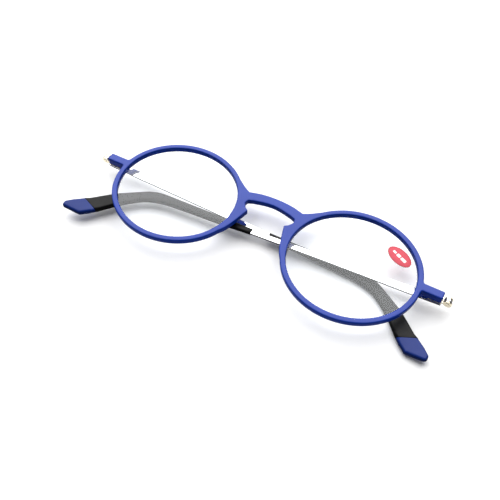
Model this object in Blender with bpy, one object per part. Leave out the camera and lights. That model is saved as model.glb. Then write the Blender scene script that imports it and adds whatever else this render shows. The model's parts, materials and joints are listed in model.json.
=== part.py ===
"""Folding reading glasses: a one-piece plastic front, two lenses, and two steel temples with moulded ear sleeves.

X runs across the front, Y is the wearer's up, Z points out of the front. The temples are folded behind the front.
The design is drawn in millimetres about the middle of the bridge, with the front's face at Z = 0, and is moved at the end so that the origin is the bottom centre of the whole part.
"""

import math

import bmesh
import bpy
from mathutils import Matrix, Vector
from mathutils.geometry import delaunay_2d_cdt

MM = 0.001

# front
LENS_CX = 33.0  # half the distance between the lens centres
APERTURE_A, APERTURE_B = 21.5, 19.8
RIM_A, RIM_B = 23.4, 21.7
FRONT_T = 2.2
FRONT_R = 0.4  # rounding of the outer edges
APERTURE_R = 0.3
GROOVE_TOP, GROOVE_BOTTOM, GROOVE_DEPTH = -1.18, -1.87, 0.5
END_X, END_Y0, END_Y1, END_Z = 63.3, 0.9, 3.9, -3.0
# lenses
LENS_GAP = 0.05
LENS_APEX_Z, LENS_BACK_Z, LENS_RADIUS = -0.75, -1.85, 500.0
TONGUE_TOP, TONGUE_BOTTOM = -1.23, -1.82
# label
LABEL_X, LABEL_Y, LABEL_A, LABEL_B, LABEL_TURN = 45.7, 10.4, 4.7, 2.8, -27.0
LABEL_GAP, LABEL_T = 0.02, 0.15
# hinge
HINGE_X, HINGE_Y, HINGE_Z = 65.2, 2.4, -2.6
KNUCKLE_R, BORE_R, PIN_R = 1.45, 0.62, 0.57
KNUCKLES = ((1.32, 1.9), (2.9, 3.48))
LEAF_X0, LEAF_Y0, LEAF_Y1, LEAF_TOP = 58.95, 1.3, 3.5, -2.47
LEAF_SCREW_X = (60.2, 62.1)
# temples
STRIP_T = 0.7
EYE_R = 1.1  # to the middle of the strip
EYE_HALF, EYE_WRAP = 0.45, 290.0
SHOULDER_U = 1.6
CORE_END = 100.0
SPLAY = {"left": 1.4, "right": 0.3}  # degrees away from the front, so that one lies on the other
DROOP = {"left": 1.4, "right": 3.3}  # degrees down the front
SLEEVE_T, SLEEVE_R = 2.2, 0.6
SLEEVE_START = 68.0
SLEEVE_MOUTH = 0.73  # the share of the full thickness at the mouth
CURL_FROM, CURL_TO, CURL = 115.0, 131.4, 1.6
CAP_GAP = 0.1

COLOURS = {
    "blue": ((0.105, 0.150, 0.520, 1.0), 0.32, 0.0),
    "blue_cap": ((0.080, 0.110, 0.330, 1.0), 0.40, 0.0),
    "black": ((0.018, 0.018, 0.020, 1.0), 0.45, 0.0),
    "steel": ((0.80, 0.80, 0.82, 1.0), 0.12, 1.0),
    "nickel": ((0.72, 0.66, 0.52, 1.0), 0.25, 1.0),
    "lens": ((0.92, 0.95, 0.98, 1.0), 0.03, 0.0),
    "label": ((0.80, 0.045, 0.060, 1.0), 0.40, 0.0),
}


def material(name, kind):
    colour, rough, metal = COLOURS[kind]
    m = bpy.data.materials.new(name)
    m.use_nodes = True
    b = m.node_tree.nodes["Principled BSDF"]
    b.inputs["Base Color"].default_value = colour
    b.inputs["Roughness"].default_value = rough
    b.inputs["Metallic"].default_value = metal
    if kind == "lens":
        b.inputs["Alpha"].default_value = 0.35
    m.diffuse_color = colour
    return m


# outlines, with the material on the left of the way they run


def ellipse(cx, cy, a, b, t0, t1, n, ends=True):
    """Points from angle t0 to t1 in degrees, without the last one unless ends."""
    steps = n if ends else n
    out = []
    for i in range(steps + (1 if ends else 0)):
        t = math.radians(t0 + (t1 - t0) * i / n)
        out.append((cx + a * math.cos(t), cy + b * math.sin(t)))
    return out


def through(points, per=4):
    """A smooth open curve through the points."""
    out = []
    n = len(points)
    for i in range(n - 1):
        p0 = points[max(i - 1, 0)]
        p1, p2 = points[i], points[i + 1]
        p3 = points[min(i + 2, n - 1)]
        for k in range(per):
            t = k / per
            out.append(
                tuple(
                    0.5
                    * (
                        2 * p1[c]
                        + (p2[c] - p0[c]) * t
                        + (2 * p0[c] - 5 * p1[c] + 4 * p2[c] - p3[c]) * t * t
                        + (3 * p1[c] - p0[c] - 3 * p2[c] + p3[c]) * t**3
                    )
                    for c in (0, 1)
                )
            )
    out.append(tuple(points[-1]))
    return out


def filleted(corners, per=4, closed=True):
    """A polygon of (x, y, radius) corners, each turned by an arc."""
    out = []
    n = len(corners)
    for i, (x, y, r) in enumerate(corners):
        if r <= 0 or (not closed and i in (0, n - 1)):
            out.append((x, y))
            continue
        p = Vector((x, y))
        a = (Vector(corners[i - 1][:2]) - p).normalized()
        b = (Vector(corners[(i + 1) % n][:2]) - p).normalized()
        half = a.angle(b) / 2
        reach = r / math.tan(half)
        centre = p + (a + b).normalized() * (r / math.sin(half))
        s, e = p + a * reach - centre, p + b * reach - centre
        turn = s.angle_signed(e)
        for k in range(per + 1):
            v = s.copy()
            v.rotate(Matrix.Rotation(-turn * k / per, 2))
            out.append(tuple(centre + v))
    return out


def tidy(points, least=0.02):
    """Drops points that nearly repeat the one before."""
    out = []
    for p in points:
        if not out or math.dist(p, out[-1]) > least:
            out.append(p)
    if math.dist(out[0], out[-1]) <= least:
        out.pop()
    return out


def area(points):
    return 0.5 * sum(
        a[0] * b[1] - b[0] * a[1] for a, b in zip(points, points[1:] + points[:1])
    )


def moved_in(points, by):
    """Each point moved into the material by that distance along the mitre."""
    n = len(points)
    out = []
    for i, p in enumerate(points):
        a = Vector(p) - Vector(points[i - 1])
        b = Vector(points[(i + 1) % n]) - Vector(p)
        na = Vector((-a.y, a.x)).normalized()
        nb = Vector((-b.y, b.x)).normalized()
        m = (na + nb).normalized()
        m /= max(m.dot(na), 0.35)
        out.append((p[0] + m.x * by, p[1] + m.y * by))
    return out


def inside(point, loop):
    x, y = point
    hit = False
    for (x0, y0), (x1, y1) in zip(loop, loop[1:] + loop[:1]):
        if (y0 > y) != (y1 > y) and x < (x1 - x0) * (y - y0) / (y1 - y0) + x0:
            hit = not hit
    return hit


def cap_faces(rings):
    """Triangles, as (ring, index) triples, that fill the first ring around the others."""
    flat = [(r, i) for r, ring in enumerate(rings) for i in range(len(ring))]
    verts = [Vector(rings[r][i]) for r, i in flat]
    edges, at = [], 0
    for ring in rings:
        n = len(ring)
        edges += [(at + i, at + (i + 1) % n) for i in range(n)]
        at += n
    vs, _, faces, origin, _, _ = delaunay_2d_cdt(verts, edges, [], 1, 1e-7)
    out = []
    for f in faces:
        c = sum((Vector(vs[i]) for i in f), Vector((0, 0))) / len(f)
        if not inside(c, rings[0]) or any(inside(c, h) for h in rings[1:]):
            continue
        tri = [flat[origin[i][0]] for i in f]
        a, b, d = (Vector(rings[r][i]) for r, i in tri)
        if (b - a).cross(d - a) < 0:
            tri.reverse()
        out.append(tri)
    return out


def plate(loops):
    """A bmesh of a flat piece with shaped edges. loops is [(points, [(inset, z), ...] from the top down)], the outer loop first."""
    bm = bmesh.new()
    rings = []
    for points, layers in loops:
        rings.append(
            [
                [
                    bm.verts.new((x, y, z))
                    for x, y in (moved_in(points, by) if by else points)
                ]
                for by, z in layers
            ]
        )
    for ring in rings:
        for upper, lower in zip(ring, ring[1:]):
            n = len(upper)
            for i in range(n):
                j = (i + 1) % n
                bm.faces.new((upper[i], lower[i], lower[j], upper[j]))
    for end in (0, -1):
        flat = [[(v.co.x, v.co.y) for v in ring[end]] for ring in rings]
        for tri in cap_faces(flat):
            vs = [rings[r][end][i] for r, i in tri]
            bm.faces.new(vs if end == 0 else vs[::-1])
    bmesh.ops.recalc_face_normals(bm, faces=bm.faces)
    return bm


def box(x0, x1, y0, y1, z0, z1):
    bm = bmesh.new()
    bmesh.ops.create_cube(
        bm,
        size=1.0,
        matrix=Matrix.Translation(((x0 + x1) / 2, (y0 + y1) / 2, (z0 + z1) / 2))
        @ Matrix.Diagonal((x1 - x0, y1 - y0, z1 - z0, 1.0)),
    )
    return bm


def lathe(profile, n=32):
    """A closed turned piece from (radius, height) points, about the Z axis. The first and last radii are 0."""
    bm = bmesh.new()
    rings = []
    for r, h in profile:
        if r == 0:
            rings.append([bm.verts.new((0, 0, h))])
        else:
            rings.append(
                [
                    bm.verts.new(
                        (
                            r * math.cos(2 * math.pi * i / n),
                            r * math.sin(2 * math.pi * i / n),
                            h,
                        )
                    )
                    for i in range(n)
                ]
            )
    for a, b in zip(rings, rings[1:]):
        for i in range(n):
            j = (i + 1) % n
            vs = [a[i % len(a)], a[j % len(a)], b[j % len(b)], b[i % len(b)]]
            vs = [v for k, v in enumerate(vs) if v not in vs[:k]]
            if len(vs) > 2:
                bm.faces.new(vs)
    bmesh.ops.recalc_face_normals(bm, faces=bm.faces)
    return bm


def object_of(bm, name):
    me = bpy.data.meshes.new(name)
    bm.to_mesh(me)
    bm.free()
    ob = bpy.data.objects.new(name, me)
    bpy.context.scene.collection.objects.link(ob)
    return ob


def combine(ob, tool_bm, operation):
    """ob with a tool joined or cut, both in mm."""
    tool = object_of(tool_bm, "tool")
    mod = ob.modifiers.new("b", "BOOLEAN")
    mod.object = tool
    mod.operation = operation
    mod.solver = "EXACT"
    bpy.context.view_layer.update()
    dg = bpy.context.evaluated_depsgraph_get()
    me = bpy.data.meshes.new_from_object(ob.evaluated_get(dg))
    ob.modifiers.clear()
    old = ob.data
    ob.data = me
    me.name = ob.name
    bpy.data.meshes.remove(old)
    data = tool.data
    bpy.data.objects.remove(tool, do_unlink=True)
    bpy.data.meshes.remove(data)
    return ob


def moved(bm, matrix):
    bmesh.ops.transform(bm, matrix=matrix, verts=bm.verts)
    if matrix.determinant() < 0:
        bmesh.ops.reverse_faces(bm, faces=bm.faces)
    return bm


def mirror_x(bm):
    return moved(bm, Matrix.Diagonal((-1.0, 1.0, 1.0, 1.0)))


def front_outline():
    """The right half from the top of the bridge to its underside, then mirrored. It runs clockwise and is turned round at the end."""
    arch = [(0.0, 12.8), (3.0, 12.68), (6.0, 12.3), (8.6, 11.68), (10.3, 11.2)]
    brow = [(10.3, 11.2), (11.5, 11.85), (13.0, 12.75), (14.4, 13.75)]
    top = ellipse(LENS_CX, 0, RIM_A, RIM_B, 136.6, 12.6, 44)
    t_low = -1.2
    end = filleted(
        [
            (*top[-1], 0),
            (56.3, END_Y1, 0.5),
            (END_X, END_Y1, 0.5),
            (END_X, END_Y0, 0.5),
            (56.5, END_Y0, 0.4),
            (
                LENS_CX + RIM_A * math.cos(math.radians(t_low)),
                RIM_B * math.sin(math.radians(t_low)),
                0,
            ),
        ],
        closed=False,
    )
    low = ellipse(LENS_CX, 0, RIM_A, RIM_B, t_low, -156.0, 52)
    pad = [
        low[-1],
        (10.35, -6.9),
        (9.3, -4.5),
        (8.6, -2.3),
        (7.9, 0.0),
        (7.2, 2.5),
    ]
    knob = filleted(
        [
            (7.2, 2.5, 0),
            (6.85, 3.5, 0.6),
            (8.2, 4.5, 0.9),
            (9.25, 6.1, 0.9),
            (8.9, 7.5, 0.55),
            (7.2, 8.2, 0),
        ],
        closed=False,
    )
    under = [(7.2, 8.2), (4.0, 8.95), (2.0, 9.3), (0.0, 9.45)]
    half = (
        through(arch, 3)
        + through(brow, 3)[1:]
        + top[0:]
        + end[1:]
        + low[1:]
        + through(pad, 2)[1:]
        + knob[1:]
        + through(under, 2)[1:]
    )
    half = tidy(half)
    other = [(-x, y) for x, y in reversed(half) if x > 0.01]
    loop = tidy(half + other)
    return loop if area(loop) > 0 else loop[::-1]


def front_frame():
    edge = FRONT_R * (1 - math.sqrt(0.5))
    outer = [
        (FRONT_R, 0.0),
        (edge, -edge),
        (0.0, -FRONT_R),
        (0.0, -FRONT_T + FRONT_R),
        (edge, -FRONT_T + edge),
        (FRONT_R, -FRONT_T),
    ]
    small = APERTURE_R * (1 - math.sqrt(0.5))
    hole = [
        (APERTURE_R, 0.0),
        (small, -small),
        (0.0, -APERTURE_R),
        (0.0, GROOVE_TOP),
        (GROOVE_DEPTH, GROOVE_TOP),
        (GROOVE_DEPTH, GROOVE_BOTTOM),
        (0.0, GROOVE_BOTTOM),
        (0.0, -2.0),
        (0.2, -FRONT_T),
    ]
    loops = [(front_outline(), outer)]
    for side in (1, -1):
        ring = ellipse(side * LENS_CX, 0, APERTURE_A, APERTURE_B, 360, 0, 88, False)
        loops.append((ring, hole))
    ob = object_of(plate(loops), "front_frame")
    for side in (1, -1):
        block = filleted(
            [
                (57.0, END_Y0 + 0.02, 0.48),
                (END_X - 0.02, END_Y0 + 0.02, 0.48),
                (END_X - 0.02, END_Y1 - 0.02, 0.48),
                (57.0, END_Y1 - 0.02, 0.48),
            ]
        )
        bm = plate(
            [(block, [(0.0, -1.0), (0.0, END_Z + 0.4), (0.12, END_Z + 0.12), (0.4, END_Z)])]
        )
        combine(ob, bm if side > 0 else mirror_x(bm), "UNION")
        g = LENS_GAP
        bm = box(LEAF_X0 - g, 64.0, LEAF_Y0 - g, LEAF_Y1 + g, END_Z - 0.2, LEAF_TOP + g)
        combine(ob, bm if side > 0 else mirror_x(bm), "DIFFERENCE")
        for x in LEAF_SCREW_X:
            bm = lathe([(0, -3.0), (0.34, -3.0), (0.34, -1.3), (0, -1.3)], 16)
            moved(bm, Matrix.Translation((side * x, HINGE_Y, 0)))
            combine(ob, bm, "DIFFERENCE")
    return ob


def dome(x, y):
    """The lens's front face, about the lens centre."""
    return LENS_APEX_Z - (x * x + y * y) / (2 * LENS_RADIUS)


def lens(side):
    cx = LENS_CX if side == "right" else -LENS_CX
    a, b = APERTURE_A - LENS_GAP, APERTURE_B - LENS_GAP
    ta, tb = APERTURE_A + GROOVE_DEPTH - LENS_GAP, APERTURE_B + GROOVE_DEPTH - LENS_GAP
    n = 88
    rings = [(0, 0, None)]
    rings += [(k / 5 * a, k / 5 * b, None) for k in range(1, 6)]
    rings += [
        (a, b, TONGUE_TOP),
        (ta, tb, TONGUE_TOP),
        (ta, tb, TONGUE_BOTTOM),
        (a, b, TONGUE_BOTTOM),
        (a, b, LENS_BACK_Z),
        (a * 0.6, b * 0.6, LENS_BACK_Z),
        (0, 0, LENS_BACK_Z),
    ]
    bm = bmesh.new()
    made = []
    for ra, rb, z in rings:
        if ra == 0:
            made.append([bm.verts.new((cx, 0, LENS_APEX_Z if z is None else z))])
            continue
        ring = []
        for i in range(n):
            t = 2 * math.pi * i / n
            x, y = ra * math.cos(t), rb * math.sin(t)
            ring.append(bm.verts.new((cx + x, y, dome(x, y) if z is None else z)))
        made.append(ring)
    for p, q in zip(made, made[1:]):
        for i in range(n):
            j = (i + 1) % n
            vs = [p[i % len(p)], p[j % len(p)], q[j % len(q)], q[i % len(q)]]
            vs = [v for k, v in enumerate(vs) if v not in vs[:k]]
            bm.faces.new(vs)
    bmesh.ops.recalc_face_normals(bm, faces=bm.faces)
    return object_of(bm, "lens_" + side)


def power_label():
    bm = bmesh.new()
    n, turn = 40, math.radians(LABEL_TURN)
    sheets = []
    for lift in (LABEL_GAP + LABEL_T, LABEL_GAP):
        rings = [[bm.verts.new((LABEL_X, LABEL_Y, dome(LABEL_X - LENS_CX, LABEL_Y) + lift))]]
        for k in (0.5, 1.0):
            ring = []
            for i in range(n):
                t = 2 * math.pi * i / n
                u, w = k * LABEL_A * math.cos(t), k * LABEL_B * math.sin(t)
                x = LABEL_X + u * math.cos(turn) - w * math.sin(turn)
                y = LABEL_Y + u * math.sin(turn) + w * math.cos(turn)
                ring.append(bm.verts.new((x, y, dome(x - LENS_CX, y) + lift)))
            rings.append(ring)
        sheets.append(rings)
    for rings in sheets:
        for p, q in zip(rings, rings[1:]):
            for i in range(n):
                j = (i + 1) % n
                vs = [p[i % len(p)], q[i], q[j], p[j % len(p)]]
                vs = [v for k, v in enumerate(vs) if v not in vs[:k]]
                bm.faces.new(vs)
    top, bottom = sheets[0][-1], sheets[1][-1]
    for i in range(n):
        j = (i + 1) % n
        bm.faces.new((top[i], bottom[i], bottom[j], top[j]))
    bmesh.ops.recalc_face_normals(bm, faces=bm.faces)
    return object_of(bm, "power_label")


def hinge_leaf(side):
    """The plate let into the end piece and its two knuckles."""
    bm = box(LEAF_X0, END_X, LEAF_Y0, LEAF_Y1, END_Z, LEAF_TOP)
    ob = object_of(bm if side == "right" else mirror_x(bm), "hinge_leaf_" + side)
    for y0, y1 in KNUCKLES:
        # the outline is drawn in X and Z about the pin, and stood up along Y
        r = KNUCKLE_R
        tail_top, tail_low = LEAF_TOP - 0.03 - HINGE_Z, END_Z + 0.03 - HINGE_Z
        a0 = math.degrees(math.asin(tail_top / r))
        a1 = math.degrees(math.asin(tail_low / r))
        arc = ellipse(0, 0, r, r, -180 - a1, 180 - a0, 36)
        loop = tidy([(62.4 - HINGE_X, tail_top), (62.4 - HINGE_X, tail_low)] + arc)
        loop = loop if area(loop) > 0 else loop[::-1]
        bore = ellipse(0, 0, BORE_R, BORE_R, 360, 0, 24, False)
        bm = plate([(loop, [(0, y1), (0, y0)]), (bore, [(0, y1), (0, y0)])])
        # (x, z, y) to (x, y, z)
        moved(
            bm,
            Matrix.Translation((HINGE_X, 0, HINGE_Z))
            @ Matrix(((1, 0, 0, 0), (0, 0, 1, 0), (0, 1, 0, 0), (0, 0, 0, 1))),
        )
        combine(ob, bm if side == "right" else mirror_x(bm), "UNION")
    for x in LEAF_SCREW_X:
        bm = lathe(
            [(0, END_Z - 0.2), (0.75, END_Z - 0.2), (0.64, END_Z), (0.34, -2.62), (0.34, -2.3), (0, -2.3)],
            20,
        )
        moved(bm, Matrix.Translation((x, HINGE_Y, 0)))
        combine(ob, bm if side == "right" else mirror_x(bm), "DIFFERENCE")
    return ob


def leaf_screw(side, which, x):
    bm = lathe(
        [(0, END_Z), (0.58, END_Z), (0.28, -2.63), (0.28, -1.55), (0.12, -1.4), (0, -1.4)],
        20,
    )
    moved(bm, Matrix.Translation((x, HINGE_Y, 0)))
    if side == "left":
        mirror_x(bm)
    return object_of(bm, f"leaf_screw_{side}_{which}")


def hinge_screw(side):
    top = KNUCKLES[1][1]
    bm = lathe(
        [
            (0, 1.2),
            (0.45, 1.2),
            (PIN_R, 1.32),
            (PIN_R, top + 0.05),
            (1.05, top + 0.05),
            (1.05, top + 0.4),
            (0.9, top + 0.52),
            (0, top + 0.52),
        ],
        32,
    )
    ob = object_of(bm, "hinge_screw_" + side)
    combine(ob, box(-1.5, 1.5, -0.14, 0.14, top + 0.3, top + 1.0), "DIFFERENCE")
    # the turned axis Z becomes Y
    x = HINGE_X if side == "right" else -HINGE_X
    m = Matrix.Translation((x, 0, HINGE_Z)) @ Matrix(
        ((1, 0, 0, 0), (0, 0, 1, 0), (0, -1, 0, 0), (0, 0, 0, 1))
    )
    ob.data.transform(m)
    return ob


# temples are drawn about the pin: u along the temple, w up, n towards the front


def strip_half(u):
    """Half the strip's width."""
    steps = ((0, 1.5), (14, 1.45), (28, 1.22), (44, 1.02), (60, 0.95), (200, 0.92))
    for (u0, h0), (u1, h1) in zip(steps, steps[1:]):
        if u <= u1:
            return h0 + (h1 - h0) * (u - u0) / (u1 - u0)
    return 0.92


def curl(u):
    t = min(max((u - CURL_FROM) / (CURL_TO - CURL_FROM), 0.0), 1.2)
    return CURL * t * t


def folded(side, u, w, n):
    """Where a temple's point lies with the temple folded."""
    n += curl(u)
    a = math.radians(SPLAY[side])
    y = HINGE_Y + w - max(0.0, u - SHOULDER_U) * math.tan(math.radians(DROOP[side]))
    along = u * math.cos(a) + n * math.sin(a)
    z = HINGE_Z + n * math.cos(a) - u * math.sin(a)
    x = HINGE_X - along
    return (x if side == "right" else -x, y, z)


def fold(bm, side):
    for v in bm.verts:
        v.co = folded(side, *v.co)
    if side == "right":  # its place mirrors the drawing
        bmesh.ops.reverse_faces(bm, faces=bm.faces)
    return bm


def strip_bm(first, last, grow=0.0, eye=True):
    """The strip as a sweep of a chamfered rectangle."""
    stations = []  # (centre u, centre n, outward direction, half width)
    if eye:
        steps = 22
        for i in range(steps + 1):
            t = math.radians(-90 + EYE_WRAP * (1 - i / steps))
            # u runs towards the front's middle, so the roll goes round the far side
            stations.append(
                (-EYE_R * math.cos(t), EYE_R * math.sin(t), (-math.cos(t), math.sin(t)), EYE_HALF)
            )
        stations.append((SHOULDER_U, -EYE_R, (0, -1), EYE_HALF))
        stations.append((SHOULDER_U + 0.3, -EYE_R, (0, -1), strip_half(0)))
        first = 4.0
    for u in [first] + [x for x in (8, 14, 21, 28, 36, 44, 52, 60, 70, 85) if first < x < last] + [last]:
        stations.append((u, -EYE_R, (0, -1), strip_half(u)))
    bm = bmesh.new()
    rings = []
    for u, n, (du, dn), half in stations:
        half += grow
        t = STRIP_T / 2 + grow
        c = min(0.1, t / 2)
        section = [
            (half - c, t),
            (half, t - c),
            (half, -t + c),
            (half - c, -t),
            (-half + c, -t),
            (-half, -t + c),
            (-half, t - c),
            (-half + c, t),
        ]
        rings.append([bm.verts.new((u + du * o, w, n + dn * o)) for w, o in section])
    for p, q in zip(rings, rings[1:]):
        k = len(p)
        for i in range(k):
            j = (i + 1) % k
            bm.faces.new((p[i], p[j], q[j], q[i]))
    bm.faces.new(rings[0])
    bm.faces.new(rings[-1][::-1])
    bmesh.ops.recalc_face_normals(bm, faces=bm.faces)
    return bm


SLEEVE_TOP = ((SLEEVE_START, 1.15), (79.0, 1.45), (92.0, 1.78), (103.4, 2.08))
SLEEVE_BACK = ((105.6, 1.75), (108.5, 0.85), (111.6, -0.87), (115.0, -2.85), (117.8, -4.55), (121.5, -7.6), (125.0, -10.8))
SLEEVE_UNDER = ((SLEEVE_START, -1.15), (79.0, -1.35), (89.2, -1.35), (96.0, -1.42), (101.0, -1.65), (105.3, -2.5), (109.0, -4.1), (114.3, -8.2), (117.4, -11.3))
CAP_LINE = ((126.6, -11.8), (120.3, -14.56))
CAP_TIP = ((129.4, -14.1), (131.4, -16.2), (131.4, -18.3), (124.4, -18.3), (121.9, -16.2))


def sleeve_loops():
    """The sleeve's and the cap's outlines in u and w, with the material on the left."""
    top = list(SLEEVE_TOP)
    back = through([SLEEVE_TOP[-1], *SLEEVE_BACK, CAP_LINE[0]], 3)
    under = through([*SLEEVE_UNDER, CAP_LINE[1]], 3)
    sleeve = top[:-1] + back + under[::-1]
    sleeve = tidy(sleeve)
    sleeve = sleeve if area(sleeve) > 0 else sleeve[::-1]
    d = Vector(CAP_LINE[0]) - Vector(CAP_LINE[1])
    away = Vector((d.y, -d.x)).normalized() * CAP_GAP
    a, b = Vector(CAP_LINE[0]) + away, Vector(CAP_LINE[1]) + away
    cap = filleted(
        [
            (a.x, a.y, 0),
            (*CAP_TIP[0], 3.0),
            (*CAP_TIP[1], 1.0),
            (*CAP_TIP[2], 0.7),
            (*CAP_TIP[3], 1.0),
            (*CAP_TIP[4], 3.0),
            (b.x, b.y, 0),
        ]
    )
    cap = tidy(cap)
    cap = cap if area(cap) > 0 else cap[::-1]
    return sleeve, cap


def sleeve_layers():
    r, h = SLEEVE_R, SLEEVE_T / 2
    e = r * (1 - math.sqrt(0.5))
    c = -EYE_R
    return [
        (r, c + h),
        (e, c + h - e),
        (0.0, c + h - r),
        (0.0, c - h + r),
        (e, c - h + e),
        (r, c - h),
    ]


def thinned(bm):
    """The sleeve gets thinner towards its mouth, so that the folded temples pass each other."""
    for v in bm.verts:
        k = min(1.0, SLEEVE_MOUTH + (1 - SLEEVE_MOUTH) * (v.co.x - SLEEVE_START) / 14.0)
        v.co.z = -EYE_R + (v.co.z + EYE_R) * k
    return bm


def temple(side):
    made = []
    made.append(object_of(fold(strip_bm(0, CORE_END), side), "temple_strip_" + side))
    sleeve, cap = sleeve_loops()
    ob = object_of(thinned(plate([(sleeve, sleeve_layers())])), "temple_sleeve_" + side)
    combine(ob, strip_bm(60.0, CORE_END + 0.1, grow=LENS_GAP, eye=False), "DIFFERENCE")
    bm = bmesh.new()
    bm.from_mesh(ob.data)
    fold(bm, side)
    bm.to_mesh(ob.data)
    bm.free()
    made.append(ob)
    made.append(object_of(fold(plate([(cap, sleeve_layers())]), side), "tip_cap_" + side))
    return made


def finish(ob, kind, smooth=35):
    """Clean, coloured and shaded."""
    bm = bmesh.new()
    bm.from_mesh(ob.data)
    bmesh.ops.remove_doubles(bm, verts=bm.verts, dist=0.0005)
    bmesh.ops.dissolve_degenerate(bm, dist=0.0005, edges=bm.edges)
    bmesh.ops.triangulate(bm, faces=[f for f in bm.faces if len(f.verts) > 4])
    bm.to_mesh(ob.data)
    bm.free()
    ob.data.materials.clear()
    ob.data.materials.append(material(ob.name, kind))
    ob.data.shade_smooth()
    ob.data.set_sharp_from_angle(angle=math.radians(smooth))


def build():
    for ob in list(bpy.data.objects):
        bpy.data.objects.remove(ob, do_unlink=True)
    fixed, moving = [], {"left": [], "right": []}

    def add(ob, kind, side=None):
        finish(ob, kind)
        (moving[side] if side else fixed).append(ob)

    add(front_frame(), "blue")
    add(power_label(), "label")
    for side in ("left", "right"):
        add(lens(side), "lens")
        add(hinge_leaf(side), "nickel")
        for which, x in zip(("inner", "outer"), LEAF_SCREW_X):
            add(leaf_screw(side, which, x), "nickel")
        add(hinge_screw(side), "nickel")
        strip, sleeve, cap = temple(side)
        add(strip, "steel", side)
        add(sleeve, "black", side)
        add(cap, "blue_cap", side)

    # millimetres to metres, with the origin at the bottom centre of everything
    points = [v.co for ob in fixed + moving["left"] + moving["right"] for v in ob.data.vertices]
    lo = Vector([min(p[i] for p in points) for i in range(3)])
    hi = Vector([max(p[i] for p in points) for i in range(3)])
    origin = Vector(((lo.x + hi.x) / 2, (lo.y + hi.y) / 2, lo.z))
    print("origin of the design in mm", tuple(round(c, 4) for c in origin))
    print("size in mm", tuple(round(c, 3) for c in hi - lo))
    for ob in fixed:
        ob.data.transform(Matrix.Scale(MM, 4) @ Matrix.Translation(-origin))
    for side, obs in moving.items():
        x = HINGE_X if side == "right" else -HINGE_X
        pin = Vector((x, HINGE_Y, HINGE_Z))
        print("pin", side, tuple(round(c * MM, 6) for c in pin - origin))
        pivot = bpy.data.objects.new("pivot_" + side, None)
        pivot.empty_display_size = 0.01
        bpy.context.scene.collection.objects.link(pivot)
        pivot.location = (pin - origin) * MM
        for ob in obs:
            ob.data.transform(Matrix.Scale(MM, 4) @ Matrix.Translation(-pin))
            ob.parent = pivot
    bpy.context.view_layer.update()


build()
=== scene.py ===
"""Folding reading glasses, lying on their folded temples on a white table.

Shapes are worked out in millimetres about the middle of the bridge, X across the front, Y the wearer's up, Z out of the front, and put in the frame by the hinge pins.
"""

import json
import math

import bmesh
import bpy
import numpy as np
from mathutils import Matrix, Vector
from mathutils.geometry import delaunay_2d_cdt


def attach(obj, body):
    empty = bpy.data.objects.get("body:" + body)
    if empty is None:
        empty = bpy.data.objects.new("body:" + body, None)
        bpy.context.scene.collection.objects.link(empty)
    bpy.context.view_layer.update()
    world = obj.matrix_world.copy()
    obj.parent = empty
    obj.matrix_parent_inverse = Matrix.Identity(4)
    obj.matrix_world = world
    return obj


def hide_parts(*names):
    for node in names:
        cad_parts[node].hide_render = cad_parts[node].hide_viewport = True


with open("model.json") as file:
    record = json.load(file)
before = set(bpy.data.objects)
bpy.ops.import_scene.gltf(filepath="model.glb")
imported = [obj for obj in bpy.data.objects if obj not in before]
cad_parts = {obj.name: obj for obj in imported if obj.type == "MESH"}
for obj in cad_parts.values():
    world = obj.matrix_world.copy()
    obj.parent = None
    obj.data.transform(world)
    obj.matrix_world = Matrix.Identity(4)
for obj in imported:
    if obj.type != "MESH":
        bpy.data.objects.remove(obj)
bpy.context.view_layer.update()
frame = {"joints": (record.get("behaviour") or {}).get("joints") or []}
scene = bpy.context.scene

MM = 0.001
PIN = (65.2, 2.4, -2.6)  # the right hinge pin in the design
pin_row = next(j for j in frame["joints"] if j["name"] == "fold_right")["pos_m"]
ORIGIN = Vector([PIN[i] - pin_row[i] / MM for i in range(3)])


def at(p):
    """A design point in mm as a point of the frame in metres."""
    return (Vector(p) - ORIGIN) * MM


# ---------------------------------------------------------------- shapes

LENS_CX, APERTURE_A, APERTURE_B = 33.0, 21.5, 19.8
RIM_A, RIM_B = 23.4, 21.7
FRONT_T = 2.2
END_X, END_Y0, END_Y1, END_Z = 63.3, 0.9, 3.9, -2.96
LENS_APEX_Z, LENS_BACK_Z, LENS_RADIUS = -0.75, -1.85, 500.0
HINGE_X, HINGE_Y, HINGE_Z = PIN
EYE_R, STRIP_T, SHOULDER_U = 1.1, 0.7, 1.6
SPLAY = {"left": 1.4, "right": 0.3}
DROOP = {"left": 1.4, "right": 3.3}
CURL_FROM, CURL_TO, CURL = 115.0, 131.4, 1.6


def ellipse(cx, cy, a, b, t0, t1, n, ends=True):
    out = []
    for i in range(n + (1 if ends else 0)):
        t = math.radians(t0 + (t1 - t0) * i / n)
        out.append((cx + a * math.cos(t), cy + b * math.sin(t)))
    return out


def through(points, per=4):
    """A smooth open curve through the points."""
    out, n = [], len(points)
    for i in range(n - 1):
        p0, p1, p2, p3 = (
            points[max(i - 1, 0)],
            points[i],
            points[i + 1],
            points[min(i + 2, n - 1)],
        )
        for k in range(per):
            t = k / per
            out.append(
                tuple(
                    0.5
                    * (
                        2 * p1[c]
                        + (p2[c] - p0[c]) * t
                        + (2 * p0[c] - 5 * p1[c] + 4 * p2[c] - p3[c]) * t * t
                        + (3 * p1[c] - p0[c] - 3 * p2[c] + p3[c]) * t**3
                    )
                    for c in (0, 1)
                )
            )
    out.append(tuple(points[-1]))
    return out


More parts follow.
